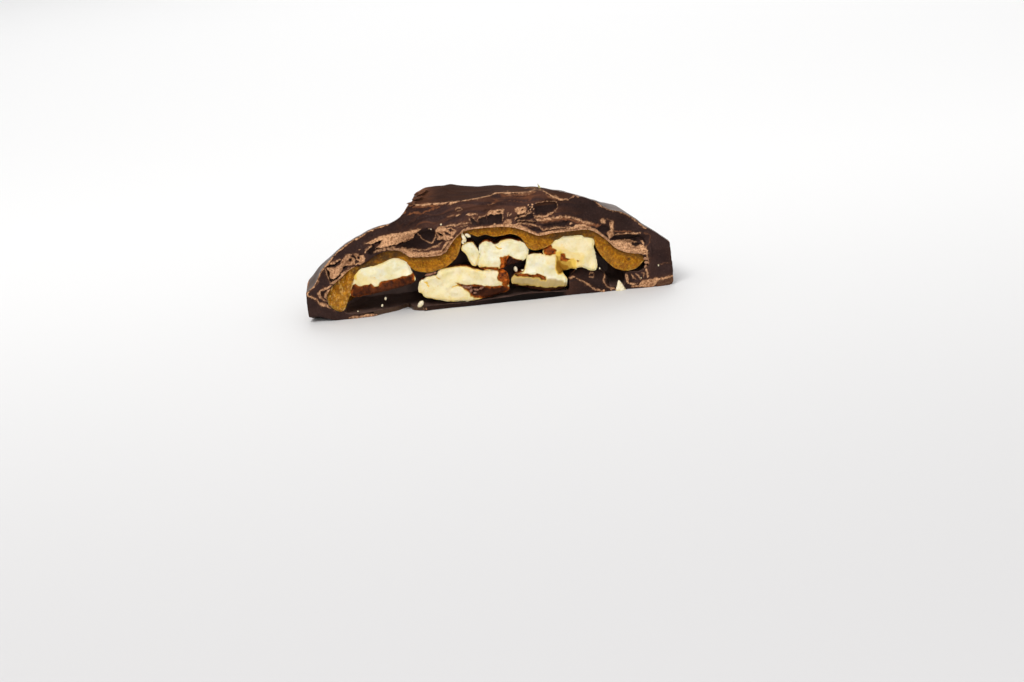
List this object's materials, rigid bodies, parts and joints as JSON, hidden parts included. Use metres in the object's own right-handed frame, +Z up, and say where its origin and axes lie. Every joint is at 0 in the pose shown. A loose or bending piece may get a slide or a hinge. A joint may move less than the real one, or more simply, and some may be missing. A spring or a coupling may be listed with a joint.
{
  "type": "dark chocolate turtle half",
  "caption": "Half of a round domed dark chocolate sweet on a flat base, broken across to show a draped caramel layer over pieces of pecan.",
  "frame": {"origin": "middle of the bounding box's bottom, on the flat base that the sweet rests on", "axes": "+X along the broken face, left to right as it is looked at; +Y from the broken face towards the round back; +Z up"},
  "size_m": [0.065, 0.0336, 0.021],
  "materials": {
    "chocolate": "satin dark chocolate, rough and paler where it is broken",
    "caramel": "glossy translucent amber",
    "pecan": "cream broken flesh with dark red-brown skin"
  },
  "bodies": {
    "root": {"chocolate_shell": "chocolate", "caramel": "caramel", "pecan_left": "pecan", "pecan_lower": "pecan", "pecan_small": "pecan", "pecan_upper": "pecan", "pecan_mid": "pecan", "pecan_right": "pecan"}
  },
  "joints": []
}
